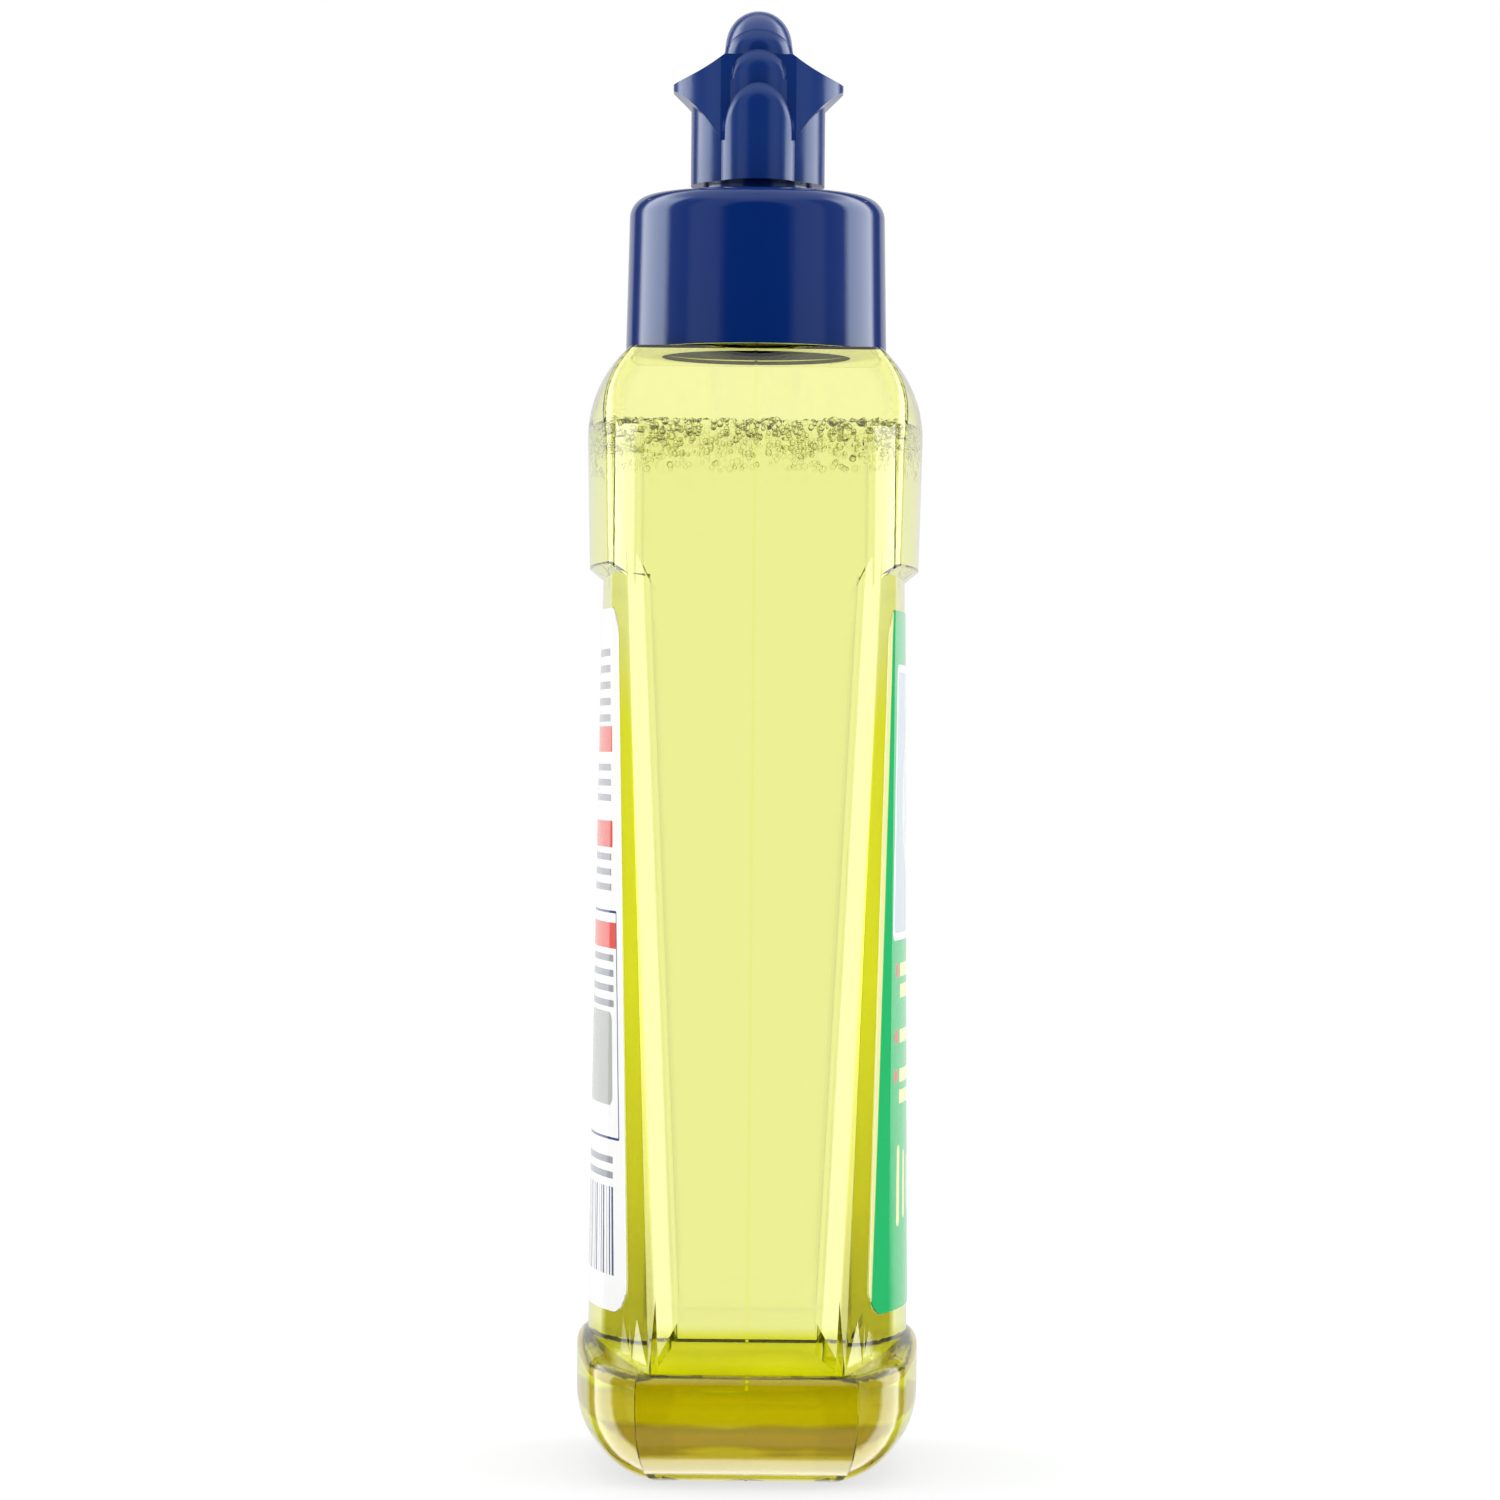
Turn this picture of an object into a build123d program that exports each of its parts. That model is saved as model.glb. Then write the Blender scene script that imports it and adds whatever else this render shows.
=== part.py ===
from build123d import *
import os
from math import cos, radians, sin, sqrt

# Rinse aid bottle: a clear blown bottle with a front and a back label, filled
# with liquid, under a screw closure that carries a push-pull pouring spout.
# Millimetres, +Z up, origin under the middle of the base. The wide faces look
# along -Y (front label) and +Y (back label), and the beak points along +X.

# Bottle body: the wall, half sizes at the waist, and the steps out from them
wall = 0.7
half_width = 33.2
base_flare = 1.5
waist_half_depth = 24.4
shoulder_step = 2.8
shoulder_taper = 0.5
shoulder_face_radius = 132.0
hip_swell = 1.6
base_step = 1.6
base_face_radius = 132.0

# Heights of the base, the label section and the shoulder, each from the one below
base_height = 22.4
section_length = 120.6
shoulder_side_height = 23.4
shoulder_crown = 13.8
ledge_rise = 2.0
ledge_depth = 2.5
shoulder_roll = 19.0
slope_height = 13.2
slope_blend = 8.0
corner_radius = 3.2

# Label section: crown of the wide faces, and the facets that widen downwards.
# The section is ruled between two levels hidden in the base and the shoulder.
section_overlap_foot = 9.4
section_overlap_top = 7.0
face_crown_top = 3.0
face_crown_foot = 8.0
facet_depth_top = 1.2
facet_depth_foot = 2.8
facet_reach_top = 1.5
facet_reach_foot = 4.0

# Base block, its heel, the recess under it and the pinch-off groove across it
heel_radius = 13.0
base_corner_radius = 13.5
base_end_trim = 1.2
ledge_round = 2.5
ledge_sag = 4.7
push_up = 2.4
push_up_length = 38.0
push_up_width = 18.0
push_up_corner = 7.0
push_up_flare = 40.0
groove_depth = 0.5
groove_radius = 20.0

# Parting seam on the narrow sides
seam_width = 0.5
seam_height = 0.12

# Neck and its thread
neck_bore = 11.0
neck_wall = 1.65
neck_height = 23.0
pedestal_radius = 17.0
pedestal_height = 4.5
thread_pitch = 4.233
thread_turns = 1.5
thread_drop = 12.0
thread_depth = 1.15
thread_root = 2.6
thread_crest = 1.1
thread_bite = 0.4

# Liquid
headspace = 10.2
liquid_gap = 0.05

# Labels
label_thickness = 0.12
label_gap = 0.02
label_rise = 4.4
label_drop = 4.8
label_margin = 1.0
label_corner = 5.0

# Sealing washer
washer_thickness = 1.1
washer_inset = 0.5
seat_gap = 0.05

# Closure: smooth skirt, deck, and the threaded sleeve inside on its ribs
rim_gap = 0.4
skirt_top_radius = 20.7
skirt_draft = 0.5
skirt_wall = 1.2
deck_wall = 1.4
crest_radius = 3.5
thread_clearance = 0.25
sleeve_thread_depth = 1.1
sleeve_thread_root = 1.6
sleeve_thread_crest = 0.8
sleeve_wall = 1.35
sleeve_gap = 2.0
rib_count = 12
rib_thickness = 1.0
rib_recess = 3.5

# Fixed post of the spout valve, its stop bead and its centre plug
post_radius = 8.8
post_wall = 1.3
post_height = 12.8
bead_height = 1.6
bead_reach = 0.62
bead_lead = 0.5
spoke_count = 3
spoke_thickness = 1.4
spoke_height = 1.8
plug_radius = 2.4
plug_tip = 0.6
plug_rise = 1.4

# Pull spout: sliding collar and finger wings
running_clearance = 0.08
spout_travel = 5.0
stop_clearance = 0.3
collar_gap = 1.8
collar_wall = 1.4
valve_gap = 1.5
crown_wall = 3.8
wing_reach = 13.8
wing_edge = 1.0
wing_half_depth = 9.9
wing_plan_depth = 11.0
wing_plan_rise = 0.2
scoop_depth = 9.8
scoop_half_width = 6.05
scoop_sag = 0.7
roof_rise = 4.1
roof_half_width = 5.5
roof_sag = 0.45

# Stepped spine behind the spout: the front of the first scale, the step back and
# the narrowing to the next, and each scale's height and the slope of its cut
scale_front = 13.2
scale_step = 1.6
scale_radius = 6.3
scale_taper = 0.3
scale_heights = (15.4, 20.9, 24.4)
scale_slopes = (59.0, 53.0, 37.0)

# Beak that leads the liquid forward
beak_radius = 5.9
beak_rise = 12.6
beak_back = 4.3
beak_root = 7.6
beak_bend = 6.0
beak_drop = 25.0
beak_length = 13.0
brow_radius = 5.3
nozzle_radius = 3.2
nozzle_bore = 1.5
beak_sections = 7

os.makedirs("parts", exist_ok=True)

shoulder_half_depth = waist_half_depth + shoulder_step
hip_half_depth = waist_half_depth + hip_swell
base_half_depth = hip_half_depth + base_step
base_half_width = half_width + base_flare
ledge_height = base_height + section_length
shoulder_start = ledge_height + shoulder_side_height
shoulder_top = shoulder_start + shoulder_crown
shoulder_axis = shoulder_face_radius - shoulder_half_depth
shoulder_half_top = shoulder_half_depth - shoulder_roll + sqrt(shoulder_roll**2 - shoulder_crown**2)
shoulder_reach = half_width - slope_height
neck_radius = neck_bore + neck_wall
neck_top = shoulder_top + neck_height
pedestal_top = shoulder_top + pedestal_height
fill_level = shoulder_top - headspace
thread_foot = neck_top - thread_drop
rim_height = shoulder_top + rim_gap
ceiling = neck_top + washer_thickness + 2 * seat_gap
deck_top = ceiling + deck_wall
skirt_rim_radius = skirt_top_radius + skirt_draft
sleeve_bore = neck_radius + thread_depth + thread_clearance
sleeve_foot = pedestal_top + sleeve_gap
rib_foot = sleeve_foot + rib_recess
label_half_top = half_width - facet_reach_top - label_margin
label_half_foot = half_width - facet_reach_foot - label_margin
post_bore = post_radius - post_wall
post_top = deck_top + post_height
bead_radius = post_radius + bead_reach
spoke_foot = post_top - bead_lead - spoke_height
lip_top = post_top - bead_height - bead_lead - spout_travel - stop_clearance
valve_deck = post_top + valve_gap
collar_foot = deck_top + collar_gap
collar_radius = bead_radius + running_clearance + collar_wall
wing_height = valve_deck + crown_wall
roof_height = wing_height + roof_rise
beak_top = wing_height + beak_rise
bend_height = beak_top - brow_radius - beak_bend


def shoulder_block(inset):
    """The wide top block. Each face is turned about an axis far behind it."""
    foot = ledge_height - ledge_rise
    foot_half_depth = waist_half_depth - ledge_depth
    with BuildPart() as block:
        with BuildSketch(Plane.XZ) as front_view:
            with BuildLine():
                Polyline(
                    (0, foot),
                    (half_width, foot),
                    (half_width, shoulder_top - slope_height),
                    (shoulder_reach, shoulder_top),
                    (0, shoulder_top),
                )
                mirror(about=Plane.YZ)
            make_face()
            fillet(front_view.vertices().group_by(Axis.Y)[1], slope_blend)
            offset(amount=-inset, kind=Kind.INTERSECTION)
        extrude(amount=shoulder_face_radius, both=True)
        for side in (1, -1):
            face_y = -side * shoulder_half_depth
            back_y = side * 2 * shoulder_half_depth
            with BuildSketch(Plane.YZ):
                with BuildLine():
                    Line((back_y, shoulder_top), (-side * shoulder_half_top, shoulder_top))
                    RadiusArc(
                        (-side * shoulder_half_top, shoulder_top),
                        (face_y, shoulder_start),
                        -side * shoulder_roll,
                    )
                    Polyline(
                        (face_y, shoulder_start),
                        (face_y + side * shoulder_taper, ledge_height + ledge_rise),
                        (-side * foot_half_depth, foot),
                        (back_y, foot),
                        (back_y, shoulder_top),
                    )
                make_face()
                offset(amount=-inset, kind=Kind.INTERSECTION)
            revolve(axis=Axis((0, side * shoulder_axis, 0), (0, 0, 1)), mode=Mode.INTERSECT)
        corners = block.edges().filter_by(
            lambda edge: abs(edge.center().X) > shoulder_reach + 1
            and abs(edge.center().Y) > corner_radius
            and edge.center().Z > ledge_height + ledge_rise
        )
        fillet(corners, corner_radius - inset)
    return block.part


def section_outline(face_half_depth, face_crown, facet_depth, facet_reach):
    """One level of the label section: curved faces, facets and flat end panels."""
    facet_x = half_width - facet_reach
    facet_y = face_half_depth - face_crown
    panel_y = facet_y - facet_depth
    Polyline(
        (facet_x, -facet_y),
        (half_width, -panel_y),
        (half_width, panel_y),
        (facet_x, facet_y),
    )
    ThreePointArc((facet_x, facet_y), (0, face_half_depth), (-facet_x, facet_y))
    Polyline(
        (-facet_x, facet_y),
        (-half_width, panel_y),
        (-half_width, -panel_y),
        (-facet_x, -facet_y),
    )
    ThreePointArc((-facet_x, -facet_y), (0, -face_half_depth), (facet_x, -facet_y))


def label_section(inset):
    """The tall middle section, ruled from its wide foot to its narrow waist."""
    with BuildPart() as section:
        with BuildSketch(Plane.XY.offset(base_height - section_overlap_foot)):
            with BuildLine():
                section_outline(hip_half_depth, face_crown_foot, facet_depth_foot, facet_reach_foot)
            make_face()
            offset(amount=-inset, kind=Kind.INTERSECTION)
        with BuildSketch(Plane.XY.offset(ledge_height + section_overlap_top)):
            with BuildLine():
                section_outline(waist_half_depth, face_crown_top, facet_depth_top, facet_reach_top)
            make_face()
            offset(amount=-inset, kind=Kind.INTERSECTION)
        loft(ruled=True)
    return section.part


def base_block(inset):
    """The foot block: rounded corners, flat ends, a rolled heel and an arched top edge."""
    uncut_half_width = base_half_width + base_end_trim
    corner_y = base_half_depth - base_face_radius + sqrt(base_face_radius**2 - uncut_half_width**2)
    end_height = base_height - ledge_sag
    with BuildPart() as block:
        with BuildSketch(Plane.XY.offset(inset)) as outline:
            with BuildLine():
                for side in (1, -1):
                    ThreePointArc(
                        (-uncut_half_width, side * corner_y),
                        (0, side * base_half_depth),
                        (uncut_half_width, side * corner_y),
                    )
                    Line(
                        (side * uncut_half_width, -corner_y),
                        (side * uncut_half_width, corner_y),
                    )
            make_face()
            fillet(outline.vertices(), base_corner_radius)
            offset(amount=-inset)
        extrude(amount=base_height)
        fillet(block.faces().sort_by(Axis.Z)[0].edges(), heel_radius - inset)
        with BuildSketch(Plane.XZ) as end_view:
            with BuildLine():
                Polyline(
                    (-base_half_width, end_height),
                    (-base_half_width, 0),
                    (base_half_width, 0),
                    (base_half_width, end_height),
                )
                ThreePointArc(
                    (-base_half_width, end_height), (0, base_height), (base_half_width, end_height)
                )
            make_face()
            fillet(end_view.vertices().group_by(Axis.Y)[0], heel_radius)
            offset(amount=-inset, kind=Kind.INTERSECTION)
        extrude(amount=base_half_depth * 2, both=True, mode=Mode.INTERSECT)
        fillet(block.faces().sort_by(Axis.Z)[-1].edges(), ledge_round - inset)
        flare = inset / cos(radians(push_up_flare))
        with BuildSketch():
            RectangleRounded(
                push_up_length + 2 * flare, push_up_width + 2 * flare, push_up_corner
            )
        extrude(amount=push_up + inset, taper=push_up_flare, mode=Mode.SUBTRACT)
        with Locations((0, 0, groove_depth - groove_radius)):
            Cylinder(
                groove_radius + inset,
                base_half_width * 3,
                rotation=(0, 90, 0),
                mode=Mode.SUBTRACT,
            )
    return block.part


def bottle_form(inset):
    """The whole body form, drawn in by the given amount from its outer skin."""
    with BuildPart() as form:
        add(label_section(inset))
        add(shoulder_block(inset))
        add(base_block(inset))
    return form.part


outer_form = bottle_form(0)
inner_form = bottle_form(wall)
seam_form = bottle_form(-seam_height)
liquid_form = bottle_form(wall + liquid_gap)

def thread_ridge(radius, depth, root, crest, foot, side):
    """A helical ridge on a round wall, standing outwards (side 1) or inwards (side -1)."""
    with BuildPart() as ridge:
        with BuildLine():
            path = Helix(thread_pitch, thread_pitch * thread_turns, radius, center=(0, 0, foot))
        with BuildSketch(Plane(path @ 0, x_dir=(1, 0, 0), z_dir=path % 0)):
            with BuildLine():
                Polyline(
                    (-side * thread_bite, -root / 2),
                    (side * depth, -crest / 2),
                    (side * depth, crest / 2),
                    (-side * thread_bite, root / 2),
                    close=True,
                )
            make_face()
        sweep(path=path, is_frenet=True)
    return ridge.part


with BuildPart() as bottle:
    add(seam_form)
    Box(base_half_width * 3, seam_width, neck_top * 3, mode=Mode.INTERSECT)
    add(outer_form)
    with BuildSketch(Plane.XY.offset(shoulder_top - wall)):
        Circle(pedestal_radius)
    extrude(amount=pedestal_top - shoulder_top + wall)
    with BuildSketch(Plane.XY.offset(pedestal_top)):
        Circle(neck_radius)
    extrude(amount=neck_top - pedestal_top)
    add(thread_ridge(neck_radius, thread_depth, thread_root, thread_crest, thread_foot, 1))
    add(inner_form, mode=Mode.SUBTRACT)
    with BuildSketch(Plane.XY.offset(fill_level)):
        Circle(pedestal_radius - neck_wall)
    extrude(amount=pedestal_top - neck_wall - fill_level, mode=Mode.SUBTRACT)
    with BuildSketch(Plane.XY.offset(fill_level)):
        Circle(neck_bore)
    extrude(amount=neck_top - fill_level, mode=Mode.SUBTRACT)

with BuildPart() as rinse_aid:
    add(liquid_form)
    split(bisect_by=Plane.XY.offset(fill_level), keep=Keep.BOTTOM)


def label_outline():
    """A label's outline on the face, its sides running beside the facets."""
    with BuildSketch(Plane.XZ) as outline:
        with BuildLine():
            Polyline(
                (label_half_foot, base_height + label_rise),
                (label_half_top, ledge_height - label_drop),
                (-label_half_top, ledge_height - label_drop),
                (-label_half_foot, base_height + label_rise),
                close=True,
            )
        make_face()
        fillet(outline.vertices(), label_corner)
    return outline.sketch


def label(side):
    """A thin sheet that follows the label face, on the given side of the bottle."""
    with BuildPart() as sheet:
        add(label_section(-label_gap - label_thickness))
        add(label_section(-label_gap), mode=Mode.SUBTRACT)
        extrude(label_outline(), amount=side * shoulder_half_depth * 2, mode=Mode.INTERSECT)
    return sheet


front_label = label(1)
back_label = label(-1)

with BuildPart() as closure:
    with Locations((0, 0, rim_height)):
        Cone(
            skirt_rim_radius,
            skirt_top_radius,
            deck_top - rim_height,
            align=(Align.CENTER, Align.CENTER, Align.MIN),
        )
    fillet(closure.edges().sort_by(Axis.Z)[-1], crest_radius)
    with Locations((0, 0, rim_height)):
        Cone(
            skirt_rim_radius - skirt_wall,
            skirt_top_radius - skirt_wall,
            ceiling - rim_height,
            align=(Align.CENTER, Align.CENTER, Align.MIN),
            mode=Mode.SUBTRACT,
        )
    fillet(closure.faces().filter_by(Plane.XY).sort_by(Axis.Z)[1].edges(), crest_radius - skirt_wall)
    with BuildSketch(Plane.XY.offset(sleeve_foot)):
        Circle(sleeve_bore + sleeve_wall)
        Circle(sleeve_bore, mode=Mode.SUBTRACT)
    extrude(amount=ceiling - sleeve_foot)
    add(
        thread_ridge(
            sleeve_bore,
            sleeve_thread_depth,
            sleeve_thread_root,
            sleeve_thread_crest,
            thread_foot + thread_pitch / 2,
            -1,
        )
    )
    with BuildSketch(Plane.XY.offset(rib_foot)):
        with PolarLocations((sleeve_bore + skirt_top_radius) / 2, rib_count):
            Rectangle(skirt_top_radius - sleeve_bore - skirt_wall, rib_thickness)
    extrude(amount=ceiling - rib_foot)
    with BuildSketch(Plane.XZ):
        with BuildLine():
            Polyline(
                (0, ceiling),
                (post_radius, ceiling),
                (post_radius, post_top - bead_height - bead_lead),
                (bead_radius, post_top - bead_height),
                (bead_radius, post_top - bead_lead),
                (post_radius, post_top),
                (0, post_top),
                (0, ceiling),
            )
        make_face()
    revolve()
    with BuildSketch(Plane.XY.offset(ceiling)):
        Circle(post_bore)
    extrude(amount=post_top - ceiling, mode=Mode.SUBTRACT)
    with BuildSketch(Plane.XY.offset(spoke_foot)):
        with PolarLocations(post_bore / 2, spoke_count):
            Rectangle(post_bore + 2 * bead_reach, spoke_thickness)
    extrude(amount=spoke_height)
    with BuildSketch(Plane.XY.offset(spoke_foot)):
        Circle(plug_radius)
    extrude(amount=valve_deck + plug_rise - spoke_foot)
    fillet(closure.faces().sort_by(Axis.Z)[-1].edges(), plug_tip)

with BuildPart() as sealing_washer:
    with BuildSketch(Plane.XY.offset(neck_top + seat_gap)):
        Circle(neck_radius)
        Circle(neck_bore + washer_inset, mode=Mode.SUBTRACT)
    extrude(amount=washer_thickness)

with BuildLine(Plane.XZ) as beak_line:
    rise = Line((-beak_back, wing_height - beak_root), (-beak_back, bend_height))
    brow = JernArc(rise @ 1, (0, 1), beak_bend, -90)
    dip = JernArc(brow @ 1, (1, 0), beak_bend, -beak_drop)
    nose = PolarLine(dip @ 1, beak_length, -beak_drop)
beak_path = beak_line.wires()[0]

with BuildPart() as beak:
    for step in range(beak_sections):
        share = step / (beak_sections - 1)
        girth = beak_radius - (beak_radius - nozzle_radius) * share**2
        with BuildSketch(Plane(beak_path @ share, x_dir=(0, 1, 0), z_dir=beak_path % share)):
            Circle(girth)
    loft()

with BuildPart() as wings:
    with BuildSketch(Plane.YZ):
        with BuildLine():
            scoop_foot = wing_height - scoop_depth
            Line((0, scoop_foot), (scoop_half_width, scoop_foot))
            SagittaArc(
                (scoop_half_width, scoop_foot), (wing_reach, wing_height - wing_edge), scoop_sag
            )
            Line((wing_reach, wing_height - wing_edge), (wing_reach, wing_height))
            SagittaArc((wing_reach, wing_height), (roof_half_width, roof_height), roof_sag)
            Line((roof_half_width, roof_height), (0, roof_height))
            mirror(about=Plane.YZ)
        make_face()
    extrude(amount=wing_half_depth, both=True)
    with BuildSketch():
        Ellipse(wing_plan_depth, wing_reach + wing_plan_rise)
    extrude(amount=roof_height, mode=Mode.INTERSECT)


def spine_scale(index):
    """One shell-like step of the spine, cut along a slope that falls forwards."""
    peak = collar_foot + scale_heights[index]
    front = scale_front - index * scale_step
    radius = scale_radius - index * scale_taper
    slope = radians(scale_slopes[index])
    with BuildPart() as scale:
        with BuildSketch(Plane.XY.offset(collar_foot)):
            with Locations((radius - front, 0)):
                Circle(radius)
            with Locations(((radius - front) / 2, 0)):
                Rectangle(front - radius, 2 * radius)
        extrude(amount=scale_heights[index])
        cut = Plane((-front, 0, peak), x_dir=(0, 1, 0), z_dir=(sin(slope), 0, cos(slope)))
        split(bisect_by=cut, keep=Keep.BOTTOM)
    return scale.part


with BuildPart() as pull_spout:
    with BuildSketch(Plane.XY.offset(collar_foot)):
        Circle(collar_radius)
    extrude(amount=wing_height - collar_foot)
    add(wings.part)
    add(beak.part)
    for index in range(len(scale_heights)):
        add(spine_scale(index))
    with BuildSketch(Plane.XZ):
        with BuildLine():
            Polyline(
                (0, collar_foot),
                (post_radius + running_clearance, collar_foot),
                (post_radius + running_clearance, lip_top),
                (bead_radius + running_clearance, lip_top + bead_lead),
                (bead_radius + running_clearance, valve_deck),
                (plug_radius + running_clearance, valve_deck),
                (plug_radius + running_clearance, bend_height + beak_bend + nozzle_bore),
                (0, bend_height + beak_bend + nozzle_bore),
                (0, collar_foot),
            )
        make_face()
    revolve(mode=Mode.SUBTRACT)
    with BuildSketch(Plane(brow @ 1, x_dir=(0, 1, 0), z_dir=(1, 0, 0))):
        Circle(nozzle_bore)
    sweep(path=Wire([dip, nose]), mode=Mode.SUBTRACT)

bottle.part.label = "bottle"
export_step(bottle.part, "parts/bottle.step")
rinse_aid.part.label = "rinse_aid"
export_step(rinse_aid.part, "parts/rinse_aid.step")
front_label.part.label = "front_label"
export_step(front_label.part, "parts/front_label.step")
back_label.part.label = "back_label"
export_step(back_label.part, "parts/back_label.step")
closure.part.label = "closure"
export_step(closure.part, "parts/closure.step")
sealing_washer.part.label = "sealing_washer"
export_step(sealing_washer.part, "parts/sealing_washer.step")
pull_spout.part.label = "pull_spout"
export_step(pull_spout.part, "parts/pull_spout.step")
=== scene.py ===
from math import atan2, cos, radians, sin
from random import Random

import bmesh
import bpy
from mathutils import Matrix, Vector
from mathutils.bvhtree import BVHTree
from mathutils.interpolate import poly_3d_calc


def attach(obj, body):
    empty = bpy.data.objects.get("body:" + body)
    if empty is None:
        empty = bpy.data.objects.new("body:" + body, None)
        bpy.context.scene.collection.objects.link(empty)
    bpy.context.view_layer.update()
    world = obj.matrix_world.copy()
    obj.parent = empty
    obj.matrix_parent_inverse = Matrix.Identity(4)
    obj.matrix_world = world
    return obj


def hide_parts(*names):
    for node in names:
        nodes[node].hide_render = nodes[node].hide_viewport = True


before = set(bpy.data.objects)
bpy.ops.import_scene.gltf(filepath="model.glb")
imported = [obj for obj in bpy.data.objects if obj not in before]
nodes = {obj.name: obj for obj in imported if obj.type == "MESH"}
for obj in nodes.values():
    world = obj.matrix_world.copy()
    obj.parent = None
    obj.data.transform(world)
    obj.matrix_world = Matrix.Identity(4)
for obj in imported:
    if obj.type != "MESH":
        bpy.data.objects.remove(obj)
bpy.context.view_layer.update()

MM = 0.001

# Sizes are in millimetres, and angles in degrees, unless a comment says otherwise

# The crease beside each end panel stands this far from the middle at the foot and leans outwards as it
# rises. The corner between them looks round over a band. Above the shoulder's foot it is upright.
CREASE_FOOT = 12.97
CREASE_SLOPE = 0.0482
BAND = 2.8
SHOULDER_FOOT = 143.2
CORNER = 21.9

# The wide faces start to mirror the backdrop here, and the painted facet shade ends
GLARE = 22.4

# Lines along a corner, counted from its crease or edge, and how far the skin there turns from the end
WAIST_LINES = (-BAND - 0.8, -BAND, 0.0, 0.3)
WAIST_TURNS = (5.0, 40.0, 66.0, 69.5)
SHOULDER_LINES = (-BAND - 1.4, -BAND - 0.6, 0.0)
SHOULDER_TURNS = (3.0, 40.0, 66.0)

# Only upright skin between these levels is bent
SOFT_LEVELS = (23, 172)
UPRIGHT_LIMIT = 0.35
LINE_SLACK = 0.02

# The spine's three scales, from the lowest, and how far down and by how much their lips roll
SCALE_PEAKS = (223.0, 228.5, 232.0)
SCALE_SLOPES = (59.0, 53.0, 37.0)
SCALE_FRONTS = (13.2, 11.6, 10.0)
SCALE_RADII = (6.3, 6.0, 5.7)
LIP = 2.6
LIP_TILT = 44.0

# Meshes: points closer than this are one, cuts snap within this, and sharper edges stay crisp
WELD = 0.004
SNAP = 0.005
CRISP_ANGLE = 35.0

# The liquid's surface lies here, its skin reaches into the wall by this much, and a label's back by that
FILL_TOP = 167.5
LIQUID_GROWTH = 0.13
LABEL_GROWTH = 0.06
BACK_FACING = -0.2

# Bubbles: their place, their number, and their smallest and largest radius
FROTH_KINDS = (("ring", 1300, 0.25, 0.6), ("large", 44, 0.8, 1.25), ("foam", 520, 0.4, 0.9))
RING_DROP = 5.6
LARGE_DROP = 3.0
FOAM_RISE = 0.1
WALL_GAP = 0.15

# Painted shade and refraction along the facets: the levels between which it runs, fades in above the base and
# fades out below the shoulder
FACET_SPAN = (20, 140)
FACET_FADE_IN = (20, 24)
FACET_FADE_OUT = (142, 118)
FACET_EDGE = (-0.1, 0.4)
FACET_SHADE_STOPS = ((0.0, "C4BE00"), (0.12, "E6E200"), (0.5, "FFFF00"), (1.0, "FFFF30"))

# Painted refraction and shade in the thick heel: its colours from the foot to the ledge, and where they fade
# out upwards and sideways
HEEL_SPAN = (0, 24)
HEEL_FADE = (20.5, 18)
HEEL_SIDES = (26, 20)
HEEL_REFRACTION_WAVE = 4.0
HEEL_SHADE_STOPS = (
    (0.0, "ECE890"), (0.045, "DED448"), (0.09, "D0BC18"), (0.26, "CFB914"), (0.44, "D0BE18"),
    (0.50, "C6BC12"), (0.55, "F0F000"), (0.66, "F4F400"), (0.76, "E6E400"), (0.84, "D8D600"),
    (1.0, "F0F050"),
)

# Grain of the materials: slow waves of painted refraction in the blown heel, dull patches and orange peel on
# moulded plastic, and the pores of foam
REFRACTION_WAVE_SIZE = 18.2
PATCH_SIZE = 11.11
PEEL_SIZE = 1.43
PEEL_DEPTH = 0.02
PORE_SIZE = 0.4
PORE_DEPTH = 0.1

# The labels' upright borders start this far inside the label's edge near its foot
LABEL_FOOT = 32
BORDER = (-0.8, -0.7)

# Print colours
GREEN, CREAM, PANEL, WHITE, RED = "03B565", "F2F0A8", "C4D3DE", "FAFAF8", "DF5A4E"
GREY, NAVY, INK = "9A9EA4", "2F4380", "4A5078"
HALO, DISC, PATCH = "E6EDF2", "5FB8D8", "B4B7B2"

# How bright the studio is in each direction, from the camera's side (-1) to the backdrop (1):
# dark behind the camera, two dim cards, two tall softboxes, a dark gap, and the white backdrop
STUDIO_STOPS = (
    (-1.0, 0.03), (-0.88, 0.05), (-0.80, 0.7), (-0.50, 0.8), (-0.40, 0.35), (-0.10, 0.5),
    (0.02, 5.0), (0.54, 5.0), (0.64, 0.3), (0.72, 0.12), (0.80, 0.12), (0.85, 0.8), (1.0, 0.8),
)
SOFTBOX_LEVEL = 5.0
CEILING_LEVEL = 1.3
CEILING_START = (0.6, 0.85)

# What clear plastic shows behind itself: a soft grey towards the camera and the white backdrop
NEAR_LEVEL = 0.75
BACKDROP_LEVEL = 1.0
BACKDROP_START = (0.2, 0.8)

# The floor's size and the lamp's place and size are in metres, and its power in watts
FLOOR_REACH = 6.0
FLOOR_LIFT = 0.7
LAMP_PLACE = (0.2, 0, 1.6)
LAMP_SIZE = 1.6
LAMP_POWER = 4.5

# The camera stands level with the bottle's middle, in metres, and is rolled a little
CAMERA_PLACE = (-0.839, 0.0004, 0.1159)
CAMERA_ROLL = 0.53
SENSOR_WIDTH = 36.0
LENS = 123.6

# Light passes many skins here, and goes to and fro between the two labels
CLEAR_BOUNCES = 32
DIFFUSE_BOUNCES = 10


# Colour and shader helpers

def linear(hex_colour):
    """An sRGB hex colour as linear RGBA."""
    parts = [int(hex_colour[i:i + 2], 16) / 255 for i in (0, 2, 4)]
    return [c / 12.92 if c <= 0.04045 else ((c + 0.055) / 1.055) ** 2.4 for c in parts] + [1.0]


def cells(size):
    """The scale of a pattern whose marks are this many millimetres across."""
    return 1 / (size * MM)


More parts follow.
